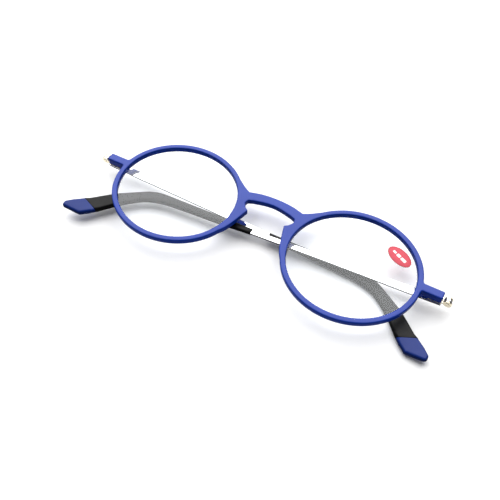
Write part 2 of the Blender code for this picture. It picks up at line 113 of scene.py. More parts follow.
def filleted(corners, per=8, closed=True):
    """A polygon of (x, y, radius) corners, each turned by an arc."""
    out, n = [], len(corners)
    for i, (x, y, r) in enumerate(corners):
        if r <= 0 or (not closed and i in (0, n - 1)):
            out.append((x, y))
            continue
        p = Vector((x, y))
        a = (Vector(corners[i - 1][:2]) - p).normalized()
        b = (Vector(corners[(i + 1) % n][:2]) - p).normalized()
        half = a.angle(b) / 2
        reach = r / math.tan(half)
        centre = p + (a + b).normalized() * (r / math.sin(half))
        s, e = p + a * reach - centre, p + b * reach - centre
        turn = s.angle_signed(e)
        for k in range(per + 1):
            v = s.copy()
            v.rotate(Matrix.Rotation(-turn * k / per, 2))
            out.append(tuple(centre + v))
    return out


def area(points):
    return 0.5 * sum(
        a[0] * b[1] - b[0] * a[1] for a, b in zip(points, points[1:] + points[:1])
    )


def evened(points, most=0.4, least=0.05, clear=1.2):
    """A closed outline with no long and no tiny steps, running with its inside on the left. Its sharp outward corners have no other point near them."""
    kept = []
    for p in points:
        if not kept or math.dist(p, kept[-1]) > least:
            kept.append(p)
    while math.dist(kept[0], kept[-1]) <= least:
        kept.pop()
    if area(kept) < 0:
        kept.reverse()
    out = []
    for a, b in zip(kept, kept[1:] + kept[:1]):
        n = max(1, math.ceil(math.dist(a, b) / most))
        out += [
            (a[0] + (b[0] - a[0]) * k / n, a[1] + (b[1] - a[1]) * k / n)
            for k in range(n)
        ]
    corners = []
    for i, p in enumerate(out):
        a = Vector(p) - Vector(out[i - 1])
        b = Vector(out[(i + 1) % len(out)]) - Vector(p)
        if a.x * b.y - a.y * b.x > 0.45 * a.length * b.length:
            corners.append(p)
    return [p for p in out if p in corners or all(math.dist(p, c) > clear for c in corners)]


def moved_in(points, by):
    """Every edge of the outline moved in by its own distance."""
    n, out = len(points), []
    for i, p in enumerate(points):
        a = Vector(p) - Vector(points[i - 1])
        b = Vector(points[(i + 1) % n]) - Vector(p)
        na = Vector((-a.y, a.x)).normalized()
        nb = Vector((-b.y, b.x)).normalized()
        da, db = by[i - 1], by[i]
        if da == db:
            m = (na + nb).normalized()
            m *= da / max(m.dot(na), 0.4)
        else:
            det = na.x * nb.y - na.y * nb.x
            m = Vector((da * nb.y - db * na.y, db * na.x - da * nb.x)) / det
        out.append((p[0] + m.x, p[1] + m.y))
    return out


def how_deep(points, edges):
    """The distance of each point from the nearest of the edges."""
    a = np.array([e[0] for e in edges])
    ab = np.array([e[1] for e in edges]) - a
    out = []
    for chunk in np.array_split(np.array(points), max(1, len(points) // 400)):
        t = np.clip(
            ((chunk[:, None] - a) * ab).sum(-1) / (ab * ab).sum(-1), 0, 1
        )
        out.append(np.linalg.norm(chunk[:, None] - (a + t[..., None] * ab), axis=-1).min(1))
    return np.concatenate(out)


def are_inside(points, loop):
    p, a = np.array(points), np.array(loop)
    b = np.roll(a, -1, 0)
    hit = np.zeros(len(p), bool)
    for (x0, y0), (x1, y1) in zip(a, b):
        if y0 == y1:
            continue
        over = (y0 > p[:, 1]) != (y1 > p[:, 1])
        hit ^= over & (p[:, 0] < (x1 - x0) * (p[:, 1] - y0) / (y1 - y0) + x0)
    return hit


def slab(loops, top, bottom, r, crown=0.05, reach=0.95, grid=0.32, steps=5, cut=None):
    """A flat piece as a bmesh in mm. Its edges are rounded, and its faces rise a little towards their middle.

    loops are closed outlines with the material on the left, the outer one first. top and bottom give the height over (x, y). cut says where the outline is a plain cut, which stays nearly sharp.
    """
    bm = bmesh.new()
    sizes, real = [], []
    for loop in loops:
        own = []
        for p, q in zip(loop, loop[1:] + loop[:1]):
            plain = cut is not None and cut((p[0] + q[0]) / 2, (p[1] + q[1]) / 2)
            own.append(0.07 if plain else r)
            if not plain:
                real.append((p, q))
        sizes.append(own)

    def dome(points):
        k = 1 - np.minimum(how_deep(points, real), reach) / reach
        return crown * k * k

    rings = []
    turns = [math.pi / 2 * k / steps for k in range(steps + 1)]
    for loop, own in zip(loops, sizes):
        size = [max(own[i - 1], own[i]) for i in range(len(loop))]
        made = []
        for sign, height in ((1, top), (-1, bottom)):
            some = []
            for a in turns:
                flat = moved_in(loop, [d * (1 - math.sin(a)) for d in own])
                low = dome(flat)
                some.append(
                    [
                        bm.verts.new((x, y, height(x, y) - sign * (size[i] * (1 - math.cos(a)) + low[i])))
                        for i, (x, y) in enumerate(flat)
                    ]
                )
            made += some if sign > 0 else some[::-1]
        rings.append(made)
        for p, q in zip(made, made[1:]):
            n = len(p)
            for i in range(n):
                j = (i + 1) % n
                bm.faces.new((p[i], q[i], q[j], p[j]))
    lo, hi = np.array(loops[0]).min(0), np.array(loops[0]).max(0)
    spots = []
    for k, y in enumerate(np.arange(lo[1], hi[1], grid * 0.866)):
        xs = np.arange(lo[0] + (k % 2) * grid / 2, hi[0], grid)
        spots.append(np.stack([xs, np.full_like(xs, y)], 1))
    spots = np.concatenate(spots)
    inner = [[tuple(v.co.xy) for v in own[0]] for own in rings]
    ok = are_inside(spots, inner[0])
    for hole in inner[1:]:
        ok &= ~are_inside(spots, hole)
    spots = spots[ok]
    spots = spots[how_deep(spots, [e for l in inner for e in zip(l, l[1:] + l[:1])]) > grid * 0.45]
    low = dome(spots)
    for which, height, sign in ((0, top, 1), (-1, bottom, -1)):
        verts = [v for own in rings for v in own[which]]
        for (x, y), d in zip(spots, low):
            verts.append(bm.verts.new((x, y, height(x, y) - sign * d)))
        edges, first = [], 0
        for own in rings:
            n = len(own[which])
            edges += [(first + i, first + (i + 1) % n) for i in range(n)]
            first += n
        flat = [v.co.xy for v in verts]
        vs, _, faces, origin, _, _ = delaunay_2d_cdt(flat, edges, [], 1, 1e-7)
        centres = np.array([[sum(vs[i][c] for i in f) / len(f) for c in (0, 1)] for f in faces])
        ok = are_inside(centres, inner[0])
        for hole in inner[1:]:
            ok &= ~are_inside(centres, hole)
        for f, good in zip(faces, ok):
            if not good:
                continue
            tri = [verts[origin[i][0]] for i in f]
            a, b, c = (v.co for v in tri)
            if ((b - a).cross(c - a).z > 0) != (sign > 0):
                tri.reverse()
            bm.faces.new(tri)
    bmesh.ops.recalc_face_normals(bm, faces=bm.faces)
    return bm


def piece(bm, name, body, replaced=(), place=at, flip=False, angle=50):
    """An object from a bmesh drawn in mm."""
    for v in bm.verts:
        v.co = place(v.co)
    if flip:
        bmesh.ops.reverse_faces(bm, faces=bm.faces)
    me = bpy.data.meshes.new(name)
    bm.to_mesh(me)
    bm.free()
    ob = bpy.data.objects.new(name, me)
    scene.collection.objects.link(ob)
    me.shade_smooth()
    if angle:
        me.set_sharp_from_angle(angle=math.radians(angle))
    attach(ob, body)
    if replaced:
        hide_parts(*replaced)
    return ob


def front_outline():
    """The right half of the front from the top of the bridge to its underside, with its mirror image."""
    arch = [(0.0, 12.8), (3.0, 12.68), (6.0, 12.3), (8.6, 11.68), (10.2, 11.2)]
    brow = [(10.2, 11.2), (11.5, 11.85), (13.0, 12.75), (14.4, 13.75)]
    top = ellipse(LENS_CX, 0, RIM_A, RIM_B, 136.6, 12.6, 190)
    low_t = -1.2
    low_first = (
        LENS_CX + RIM_A * math.cos(math.radians(low_t)),
        RIM_B * math.sin(math.radians(low_t)),
    )
    end = filleted(
        [
            (*top[-1], 0),
            (56.3, END_Y1, 0.8),
            (END_X, END_Y1, 0.5),
            (END_X, END_Y0, 0.5),
            (56.5, END_Y0, 0.6),
            (*low_first, 0),
        ],
        closed=False,
    )
    low = ellipse(LENS_CX, 0, RIM_A, RIM_B, low_t, -156.0, 220)
    pad = [low[-1], (10.35, -6.9), (9.3, -4.5), (8.6, -2.3), (7.9, 0.0), (7.2, 2.5)]
    knob = filleted(
        [
            (7.2, 2.5, 0),
            (6.85, 3.5, 0.6),
            (8.2, 4.5, 0.9),
            (9.25, 6.1, 0.9),
            (8.9, 7.5, 0.55),
            (7.2, 8.2, 0),
        ],
        closed=False,
    )
    under = [(7.2, 8.2), (4.0, 8.95), (2.0, 9.3), (0.0, 9.45)]
    half = (
        through(arch, 8)
        + through(brow, 6)[1:]
        + top
        + end[1:]
        + low[1:]
        + through(pad, 8)[1:]
        + knob[1:]
        + through(under, 8)[1:]
    )
    return evened(half + [(-x, y) for x, y in reversed(half) if x > 0.01], 0.4, 0.06)


def block(x0, x1, y0, y1, z0, z1):
    bm = bmesh.new()
    bmesh.ops.create_cube(bm, size=1.0)
    for v in bm.verts:
        v.co = (
            x0 + (v.co.x + 0.5) * (x1 - x0),
            y0 + (v.co.y + 0.5) * (y1 - y0),
            z0 + (v.co.z + 0.5) * (z1 - z0),
        )
    return bm


def without(bm, cutter):
    """One bmesh less another."""
    obs = []
    for part in (bm, cutter):
        me = bpy.data.meshes.new("work")
        part.to_mesh(me)
        part.free()
        ob = bpy.data.objects.new("work", me)
        scene.collection.objects.link(ob)
        obs.append(ob)
    mod = obs[0].modifiers.new("cut", "BOOLEAN")
    mod.operation, mod.solver, mod.object = "DIFFERENCE", "EXACT", obs[1]
    done = bpy.data.meshes.new_from_object(obs[0].evaluated_get(bpy.context.evaluated_depsgraph_get()))
    out = bmesh.new()
    out.from_mesh(done)
    for ob in obs:
        me = ob.data
        bpy.data.objects.remove(ob)
        bpy.data.meshes.remove(me)
    bpy.data.meshes.remove(done)
    return out


def turned(profile, n=96):
    """A closed lathe round Z from (radius, height) points, all joined up in a ring unless they start and end on the axis."""
    bm, rings = bmesh.new(), []
    solid = profile[0][0] == 0
    for r, z in profile:
        if r == 0:
            rings.append([bm.verts.new((0, 0, z))])
            continue
        rings.append(
            [bm.verts.new((r * math.cos(2 * math.pi * i / n), r * math.sin(2 * math.pi * i / n), z)) for i in range(n)]
        )
    pairs = list(zip(rings, rings[1:] + ([] if solid else rings[:1])))
    for p, q in pairs:
        for i in range(n):
            j = (i + 1) % n
            vs = [p[i % len(p)], p[j % len(p)], q[j % len(q)], q[i % len(q)]]
            bm.faces.new([v for k, v in enumerate(vs) if v not in vs[:k]])
    bmesh.ops.recalc_face_normals(bm, faces=bm.faces)
    return bm


def rounded_ring(r0, r1, z0, z1, r, steps=5):
    """The section of a ring with rounded rims, for turned()."""
    out = []
    for cx, cz, a0 in ((r1 - r, z0 + r, -90), (r1 - r, z1 - r, 0), (r0 + r, z1 - r, 90), (r0 + r, z0 + r, 180)):
        for k in range(steps + 1):
            a = math.radians(a0 + 90 * k / steps)
            out.append((cx + r * math.cos(a), cz + r * math.sin(a)))
    return out


def smooth(lo, hi, x):
    t = min(max((x - lo) / (hi - lo), 0.0), 1.0)
    return t * t * (3 - 2 * t)


def front():
    loops = [front_outline()]
    for side in (1, -1):
        loops.append(ellipse(side * LENS_CX, 0, APERTURE_A, APERTURE_B, 360, 0, 330, False))

    def back(x, y):
        return -FRONT_T + (END_Z + FRONT_T) * smooth(56.3, 57.5, abs(x))

    bm = slab(loops, lambda x, y: 0.0, back, 0.42)
    for s in (1, -1):
        low, high = sorted((s * (LEAF_X0 - 0.04), s * 64.5))
        bm = without(bm, block(low, high, LEAF_Y0 - 0.04, LEAF_Y1 + 0.04, END_Z - 0.5, LEAF_TOP + 0.03))
    return piece(bm, "front", "front", ["front_frame"], angle=38)


def lens_face(x, y):
    """The lens's front, about its own centre."""
    return LENS_APEX_Z - (x * x + y * y) / (2 * LENS_RADIUS)


def lens(side):
    cx = LENS_CX if side == "right" else -LENS_CX
    n, bm = 192, bmesh.new()
    a, b = APERTURE_A - 0.02, APERTURE_B - 0.02
    fronts = [(k, None) for k in (0, 0.15, 0.3, 0.45, 0.6, 0.72, 0.84, 0.93, 0.98, 1.0)]
    rings = fronts + [(1.012, -1.3), (1.02, -1.4), (1.02, -1.7), (1.012, -1.8), (1.0, LENS_BACK_Z)]
    rings += [(k, LENS_BACK_Z) for k in (0.98, 0.8, 0.5, 0.2, 0)]
    made = []
    for k, z in rings:
        if k == 0:
            made.append([bm.verts.new((cx, 0, LENS_APEX_Z if z is None else z))])
            continue
        ring = []
        for i in range(n):
            t = 2 * math.pi * i / n
            x, y = k * a * math.cos(t), k * b * math.sin(t)
            ring.append(bm.verts.new((cx + x, y, lens_face(x, y) if z is None else z)))
        made.append(ring)
    for p, q in zip(made, made[1:]):
        for i in range(n):
            j = (i + 1) % n
            vs = [p[i % len(p)], p[j % len(p)], q[j % len(q)], q[i % len(q)]]
            bm.faces.new([v for k, v in enumerate(vs) if v not in vs[:k]])
    bmesh.ops.recalc_face_normals(bm, faces=bm.faces)
    return piece(bm, "clear_lens_" + side, "front", ["lens_" + side], angle=20)


# temples are drawn about the pin: u along the temple, w up, n towards the front


def folded(side, u, w, n):
    t = min(max((u - CURL_FROM) / (CURL_TO - CURL_FROM), 0.0), 1.2)
    n += CURL * t * t
    a = math.radians(SPLAY[side])
    y = HINGE_Y + w - max(0.0, u - SHOULDER_U) * math.tan(math.radians(DROOP[side]))
    along = u * math.cos(a) + n * math.sin(a)
    z = HINGE_Z + n * math.cos(a) - u * math.sin(a)
    x = HINGE_X - along
    return (x if side == "right" else -x, y, z)


def strip_half(u):
    """Half the strip's width."""
    steps = ((0, 1.5), (14, 1.45), (28, 1.22), (44, 1.02), (60, 0.95), (200, 0.92))
    for (u0, h0), (u1, h1) in zip(steps, steps[1:]):
        if u <= u1:
            return h0 + (h1 - h0) * (u - u0) / (u1 - u0)
    return 0.92


def strip(side):
    """The flat steel with its rolled eye, with slightly broken edges."""
    stations = []
    steps, wrap = 56, 290.0
    for i in range(steps + 1):
        t = math.radians(-90 + wrap * (1 - i / steps))
        stations.append((-EYE_R * math.cos(t), EYE_R * math.sin(t), (-math.cos(t), math.sin(t)), 0.45))
    for u, half in ((0.8, 0.45), (1.5, 0.45), (1.62, 0.5), (1.72, 1.15), (1.8, 1.38), (1.95, 1.48), (2.2, 1.5)):
        stations.append((u, -EYE_R, (0, -1), half))
    u = 3.0
    while u <= 86.0:
        stations.append((u, -EYE_R, (0, -1), strip_half(u)))
        u += 1.0
    bm, rings = bmesh.new(), []
    c = 0.13
    for u, n, (du, dn), half in stations:
        t = STRIP_T / 2
        section = []
        for sw, sn, a0 in ((1, 1, 90), (1, -1, 0), (-1, -1, -90), (-1, 1, -180)):
            for k in range(4):
                a = math.radians(a0 - 30 * k)
                section.append((sw * (half - c) + c * math.cos(a), sn * (t - c) + c * math.sin(a)))
        rings.append([bm.verts.new((u + du * o, w, n + dn * o)) for w, o in section])
    for p, q in zip(rings, rings[1:]):
        k = len(p)
        for i in range(k):
            j = (i + 1) % k
            bm.faces.new((p[i], p[j], q[j], q[i]))
    bm.faces.new(rings[0])
    bm.faces.new(rings[-1][::-1])
    bmesh.ops.recalc_face_normals(bm, faces=bm.faces)
    bm.normal_update()
    for f in bm.faces:
        # the narrow edge faces take the second material, painted near-black as shade
        f.material_index = 1 if abs(f.normal.y) > 0.6 else 0
    return piece(
        bm,
        "polished_strip_" + side,
        "temple_" + side,
        ["temple_strip_" + side],
        place=lambda p: at(folded(side, *p)),
        flip=side == "right",
        angle=35,
    )


SLEEVE_START = 68.0
SLEEVE_TOP = ((SLEEVE_START, 1.15), (79.0, 1.45), (92.0, 1.78), (103.4, 2.08))
SLEEVE_BACK = (
    (105.6, 1.75),
    (108.5, 0.85),
    (111.6, -0.87),
    (115.0, -2.85),
    (117.8, -4.55),
    (121.5, -7.6),
    (125.0, -10.8),
)
SLEEVE_UNDER = (
    (SLEEVE_START, -1.15),
    (79.0, -1.35),
    (89.2, -1.35),
    (96.0, -1.42),
    (101.0, -1.65),
    (105.3, -2.5),
    (109.0, -4.1),
    (114.3, -8.2),
    (117.4, -11.3),
)
CAP_LINE = ((126.6, -11.8), (120.3, -14.56))
CAP_TIP = ((129.4, -14.1), (131.4, -16.2), (131.4, -18.3), (124.4, -18.3), (121.9, -16.2))
CAP_GAP = 0.08


def half_thick(u):
    """It gets thinner towards its mouth."""
    return 1.1 * min(1.0, 0.73 + 0.27 * (u - SLEEVE_START) / 14.0)


def sleeve_top(u, w):
    return -EYE_R + half_thick(u)


def sleeve_bottom(u, w):
    return -EYE_R - half_thick(u)


def is_cut(u, w):
    """Whether a point of the outline is at the mouth of the sleeve or on the line where the cap meets it."""
    a, b = Vector(CAP_LINE[0]), Vector(CAP_LINE[1])
    across = (b - a).normalized()
    off = Vector((u, w)) - a
    return u < SLEEVE_START + 0.01 or abs(off.x * across.y - off.y * across.x) < CAP_GAP + 0.02


def sleeve(side):
    back = through([SLEEVE_TOP[-1], *SLEEVE_BACK, CAP_LINE[0]], 8)
    under = through([*SLEEVE_UNDER, CAP_LINE[1]], 8)
    loop = evened(list(SLEEVE_TOP[:-1]) + back + under[::-1], 0.35, 0.05, 1.4)
    bm = slab([loop], sleeve_top, sleeve_bottom, 0.7, crown=0.08, reach=1.6, grid=0.4, steps=6, cut=is_cut)
    return piece(
        bm,
        "ear_sleeve_" + side,
        "temple_" + side,
        ["temple_sleeve_" + side],
        place=lambda p: at(folded(side, *p)),
        flip=side == "right",
        angle=0,
    )


def cap(side):
    d = Vector(CAP_LINE[0]) - Vector(CAP_LINE[1])
    away = Vector((d.y, -d.x)).normalized() * CAP_GAP
    a, b = Vector(CAP_LINE[0]) + away, Vector(CAP_LINE[1]) + away
    loop = filleted(
        [
            (a.x, a.y, 0),
            (*CAP_TIP[0], 3.0),
            (*CAP_TIP[1], 1.0),
            (*CAP_TIP[2], 1.0),
            (*CAP_TIP[3], 1.0),
            (*CAP_TIP[4], 3.0),
            (b.x, b.y, 0),
        ]
    )
    bm = slab([evened(loop, 0.3, 0.05, 1.6)], sleeve_top, sleeve_bottom, 0.9, crown=0.08, reach=1.6, grid=0.35, steps=7, cut=is_cut)
    return piece(
        bm,
        "ear_cap_" + side,
        "temple_" + side,
        ["tip_cap_" + side],
        place=lambda p: at(folded(side, *p)),
        flip=side == "right",
        angle=0,
    )


LEAF_X0, LEAF_Y0, LEAF_Y1, LEAF_TOP = 58.95, 1.3, 3.5, -2.47
LEAF_SCREW_X = (60.2, 62.1)
KNUCKLES = ((1.33, 1.89), (2.91, 3.47))


def along_pin(side):
    """Takes a shape turned round Z and stands it on the hinge pin."""
    sign = 1 if side == "right" else -1
    return lambda p: at((sign * (HINGE_X + p[0]), p[2], HINGE_Z + p[1]))


def beside(side):
    sign = 1 if side == "right" else -1
    return lambda p: at((sign * p[0], p[1], p[2]))


def softened(bm, width, segments=3):
    bmesh.ops.bevel(
        bm,
        geom=[e for e in bm.edges if e.is_manifold and e.calc_face_angle(0) > 0.6],
        offset=width,
        segments=segments,
        affect="EDGES",
        clamp_overlap=True,
        profile=0.5,
    )
    return bm


def hinge(side):
    """The leaf let into the end piece, its knuckles, its two screws and the hinge screw."""
    left = side == "left"
    made = []
    leaf = softened(block(LEAF_X0, END_X, LEAF_Y0, LEAF_Y1, END_Z - 0.035, LEAF_TOP), 0.08)
    for x in LEAF_SCREW_X:
        cone = turned([(0, END_Z - 0.3), (0.78, END_Z - 0.3), (0.66, END_Z), (0.32, -2.62), (0.32, -2.3), (0, -2.3)], 48)
        for v in cone.verts:
            v.co += Vector((x, HINGE_Y, 0))
        leaf = without(leaf, cone)
    made.append(piece(leaf, "leaf_" + side, "front", ["hinge_leaf_" + side], place=beside(side), flip=left, angle=35))
    for i, (y0, y1) in enumerate(KNUCKLES):
        neck = softened(block(62.6, HINGE_X - 0.75, y0 + 0.03, y1 - 0.03, END_Z + 0.05, LEAF_TOP - 0.05), 0.05)
        made.append(piece(neck, f"knuckle_neck_{i + 1}_{side}", "front", place=beside(side), flip=left, angle=35))
        ring = turned(rounded_ring(0.62, 1.44, y0, y1, 0.12))
        made.append(piece(ring, f"knuckle_{i + 1}_{side}", "front", place=along_pin(side), flip=not left, angle=60))
    for which, x in zip(("inner", "outer"), LEAF_SCREW_X):
        head = turned(
            [(0, END_Z - 0.02), (0.42, END_Z - 0.02), (0.54, END_Z), (0.57, END_Z + 0.03), (0.28, -2.64), (0.28, -1.55), (0.12, -1.4), (0, -1.4)],
            48,
        )
        slot = block(-0.8, 0.8, -0.07, 0.07, END_Z - 0.2, END_Z + 0.12)
        head = without(head, slot)
        for v in head.verts:
            v.co += Vector((x, HINGE_Y, 0))
        made.append(
            piece(head, f"small_screw_{which}_{side}", "front", [f"leaf_screw_{side}_{which}"], place=beside(side), flip=left, angle=35)
        )
    top = 3.48
    pin = turned(
        [
            (0, 1.22),
            (0.40, 1.22),
            (0.50, 1.25),
            (0.56, 1.33),
            (0.56, top + 0.05),
            (0.97, top + 0.05),
            (1.03, top + 0.11),
            (1.03, top + 0.34),
            (0.98, top + 0.44),
            (0.86, top + 0.50),
            (0.5, top + 0.515),
            (0, top + 0.52),
        ]
    )
    pin = without(pin, block(-1.5, 1.5, -0.14, 0.14, top + 0.3, top + 1.0))
    made.append(piece(pin, "hinge_pin_" + side, "front", ["hinge_screw_" + side], place=along_pin(side), flip=not left, angle=35))
    return made


LABEL_X, LABEL_Y, LABEL_A, LABEL_B = 45.7, 10.4, 4.7, 2.8
LABEL_TURN = math.radians(-27.0)


def on_label(u, w, lift):
    x = LABEL_X + u * math.cos(LABEL_TURN) - w * math.sin(LABEL_TURN)
    y = LABEL_Y + u * math.sin(LABEL_TURN) + w * math.cos(LABEL_TURN)
    return (x, y, lens_face(x - LENS_CX, y) + lift)


def film(outline, low, high, name, replaced=()):
    """A thin closed film on the lens with a rounded rim. The outline is in the label's own plane."""
    bm, rings = bmesh.new(), []
    layers = ((0.55, high), (0.985, high), (1.0, high - 0.02), (1.0, low), (0.55, low))
    centre = Vector((sum(p[0] for p in outline) / len(outline), sum(p[1] for p in outline) / len(outline)))
    for k, lift in layers:
        rings.append([bm.verts.new(on_label(*(centre + (Vector(p) - centre) * k), lift)) for p in outline])
    for p, q in zip(rings, rings[1:]):
        for i in range(len(p)):
            j = (i + 1) % len(p)
            bm.faces.new((p[i], q[i], q[j], p[j]))
    for ring, lift in ((rings[0], high), (rings[-1], low)):
        mid = bm.verts.new(on_label(*centre, lift))
        for i in range(len(ring)):
            bm.faces.new((ring[i], ring[(i + 1) % len(ring)], mid))
    bmesh.ops.recalc_face_normals(bm, faces=bm.faces)
    return piece(bm, name, "front", replaced, angle=40)


def label():
    return film(ellipse(0, 0, LABEL_A - 0.28, LABEL_B - 0.28, 0, 360, 96, False), 0.02, 0.145, "oval_label", ["power_label"])


def label_rim():
    """The darker printed border, a low ring round the label."""
    bm, rings = bmesh.new(), []
    for inset, lift in ((0.30, 0.02), (0.0, 0.02), (0.0, 0.12), (0.02, 0.138), (0.05, 0.15), (0.26, 0.15), (0.29, 0.14), (0.30, 0.12)):
        rings.append(
            [
                bm.verts.new(on_label(x, y, lift))
                for x, y in ellipse(0, 0, LABEL_A - inset, LABEL_B - inset, 0, 360, 120, False)
            ]
        )
    for p, q in zip(rings, rings[1:] + rings[:1]):
        for i in range(len(p)):
            j = (i + 1) % len(p)
            bm.faces.new((p[i], q[i], q[j], p[j]))
    bmesh.ops.recalc_face_normals(bm, faces=bm.faces)
    return piece(bm, "label_border", "front", angle=40)


def print_marks():
    """Three plain white bars."""
    out = []
    for i, (u, length, high) in enumerate(((-2.3, 1.3, 0.42), (-0.45, 1.5, 0.55), (1.75, 2.1, 0.55))):
        r = min(0.22, length / 2 - 0.02, high - 0.02)
        bar = filleted(
            [
                (u - length / 2, -high, r),
                (u + length / 2, -high, r),
                (u + length / 2, high, r),
                (u - length / 2, high, r),
            ],
            per=7,
        )
        out.append(film(bar, 0.14, 0.165, f"label_bar_{i + 1}"))
    return out


# ---------------------------------------------------------------- materials


def material(name):
    m = bpy.data.materials.new(name)
    m.use_nodes = True
    nt = m.node_tree
    b = nt.nodes["Principled BSDF"]
    return m, nt, b


def node(nt, kind, **values):
    n = nt.nodes.new(kind)
    for k, v in values.items():
        setattr(n, k, v)
    return n


def noise(nt, coords, scale, detail=3.0, rough=0.5, stretch=None):
    if stretch:
        mp = node(nt, "ShaderNodeMapping")
        mp.inputs["Scale"].default_value = stretch
        nt.links.new(coords, mp.inputs["Vector"])
        coords = mp.outputs["Vector"]
    n = node(nt, "ShaderNodeTexNoise")
    n.inputs["Scale"].default_value = scale
    n.inputs["Detail"].default_value = detail
    n.inputs["Roughness"].default_value = rough
    nt.links.new(coords, n.inputs["Vector"])
    return n.outputs["Fac"]


def ranged(nt, value, lo, hi):
    n = node(nt, "ShaderNodeMapRange")
    n.inputs["From Min"].default_value = 0.3
    n.inputs["From Max"].default_value = 0.7
    n.inputs["To Min"].default_value = lo
    n.inputs["To Max"].default_value = hi
    nt.links.new(value, n.inputs["Value"])
    return n.outputs["Result"]


def ramp(nt, value, stops):
    n = node(nt, "ShaderNodeValToRGB")
    r = n.color_ramp
    while len(r.elements) < len(stops):
        r.elements.new(0.5)
    for e, (p, c) in zip(r.elements, stops):
        e.position, e.color = p, (*c, 1.0)
    nt.links.new(value, n.inputs["Fac"])
    return n.outputs["Color"]


def bumped(nt, b, heights):
    """Bumps as (height socket, strength, distance in metres), one after another."""
    last = None
    for value, strength, distance in heights:
        n = node(nt, "ShaderNodeBump")
        n.inputs["Strength"].default_value = strength
        n.inputs["Distance"].default_value = distance
        nt.links.new(value, n.inputs["Height"])
        if last:
            nt.links.new(last, n.inputs["Normal"])
        last = n.outputs["Normal"]
    nt.links.new(last, b.inputs["Normal"])


def plastic(name, dark, light, rough, grain, spec=0.5, wall_shade=0.6):
    """Moulded plastic, satin on its flat faces and duller on its walls, where its colour is darkened by painted shade.
    """
    m, nt, b = material(name)
    tc = node(nt, "ShaderNodeTexCoord")
    c = tc.outputs["Object"]
    axes = node(nt, "ShaderNodeSeparateXYZ")
    nt.links.new(tc.outputs["Normal"], axes.inputs[0])
    flat = node(nt, "ShaderNodeMath", operation="ABSOLUTE")
    nt.links.new(axes.outputs["Z"], flat.inputs[0])
    level = node(nt, "ShaderNodeMapRange", interpolation_type="SMOOTHSTEP")
    level.inputs["From Min"].default_value = 0.45
    level.inputs["From Max"].default_value = 0.95
    level.inputs["To Min"].default_value = spec * 0.12
    level.inputs["To Max"].default_value = spec
    nt.links.new(flat.outputs[0], level.inputs["Value"])
    nt.links.new(level.outputs["Result"], b.inputs["Specular IOR Level"])
    # painted shade: the base colour is scaled down on faces that turn away from the front, to the given share on the
    # walls
    painted_wall_shade = node(nt, "ShaderNodeMapRange", interpolation_type="SMOOTHSTEP")
    painted_wall_shade.inputs["From Min"].default_value = 0.35
    painted_wall_shade.inputs["From Max"].default_value = 0.95
    painted_wall_shade.inputs["To Min"].default_value = wall_shade
    painted_wall_shade.inputs["To Max"].default_value = 1.0
    nt.links.new(flat.outputs[0], painted_wall_shade.inputs["Value"])
    broad = noise(nt, c, 90.0, 3.0)
    shade = node(nt, "ShaderNodeVectorMath", operation="SCALE")
    nt.links.new(ramp(nt, broad, ((0.35, dark), (0.65, light))), shade.inputs[0])
    nt.links.new(painted_wall_shade.outputs["Result"], shade.inputs["Scale"])
    nt.links.new(shade.outputs[0], b.inputs["Base Color"])
    nt.links.new(ranged(nt, noise(nt, c, 600.0, 4.0), *rough), b.inputs["Roughness"])
    bumped(
        nt,
        b,
        (
            (noise(nt, c, 7000.0, 2.0), grain, 0.00002),
            (noise(nt, c, 260.0, 2.0), 0.08, 0.0002),
        ),
    )
    return m


def steel():
    m, nt, b = material("polished_steel")
    c = node(nt, "ShaderNodeTexCoord").outputs["Object"]
    lines = noise(nt, c, 2600.0, 3.0, stretch=(0.02, 1.0, 1.0))
    nt.links.new(ramp(nt, noise(nt, c, 160.0), ((0.3, (0.78, 0.78, 0.79)), (0.7, (0.86, 0.86, 0.87)))), b.inputs["Base Color"])
    nt.links.new(ranged(nt, lines, 0.05, 0.11), b.inputs["Roughness"])
    bumped(nt, b, ((lines, 0.02, 0.00001),))
    b.inputs["Metallic"].default_value = 1.0
    return m


def nickel():
    m, nt, b = material("pale_plated_metal")
    c = node(nt, "ShaderNodeTexCoord").outputs["Object"]
    spots = noise(nt, c, 1500.0, 4.0)
    nt.links.new(ramp(nt, spots, ((0.3, (0.70, 0.62, 0.46)), (0.7, (0.84, 0.78, 0.64)))), b.inputs["Base Color"])
    nt.links.new(ranged(nt, noise(nt, c, 5000.0, 3.0), 0.16, 0.30), b.inputs["Roughness"])
    bumped(nt, b, ((noise(nt, c, 9000.0, 2.0), 0.1, 0.00001),))
    b.inputs["Metallic"].default_value = 1.0
    return m


def clear():
    """Clear plastic: a mirror by its Fresnel share, and otherwise see-through."""
    m, nt, b = material("clear_lens")
    nt.nodes.remove(b)
    c = node(nt, "ShaderNodeTexCoord").outputs["Object"]
    glossy = node(nt, "ShaderNodeBsdfGlossy")
    nt.links.new(ranged(nt, noise(nt, c, 120.0, 2.0), 0.0, 0.02), glossy.inputs["Roughness"])
    glossy.inputs["Color"].default_value = (0.97, 0.99, 1.0, 1.0)
    through_it = node(nt, "ShaderNodeBsdfTransparent")
    through_it.inputs["Color"].default_value = (0.985, 0.99, 0.995, 1.0)
    fresnel = node(nt, "ShaderNodeFresnel")
    fresnel.inputs["IOR"].default_value = 1.6
    inner = node(nt, "ShaderNodeNewGeometry").outputs["Backfacing"]
    outer = node(nt, "ShaderNodeMath", operation="SUBTRACT")
    outer.inputs[0].default_value = 1.0
    nt.links.new(inner, outer.inputs[1])
    share = node(nt, "ShaderNodeMath", operation="MULTIPLY")
    nt.links.new(fresnel.outputs["Fac"], share.inputs[0])
    nt.links.new(outer.outputs[0], share.inputs[1])
    mix = node(nt, "ShaderNodeMixShader")
    nt.links.new(share.outputs[0], mix.inputs["Fac"])
    nt.links.new(through_it.outputs[0], mix.inputs[1])
    nt.links.new(glossy.outputs[0], mix.inputs[2])
    nt.links.new(mix.outputs[0], nt.nodes["Material Output"].inputs["Surface"])
    return m


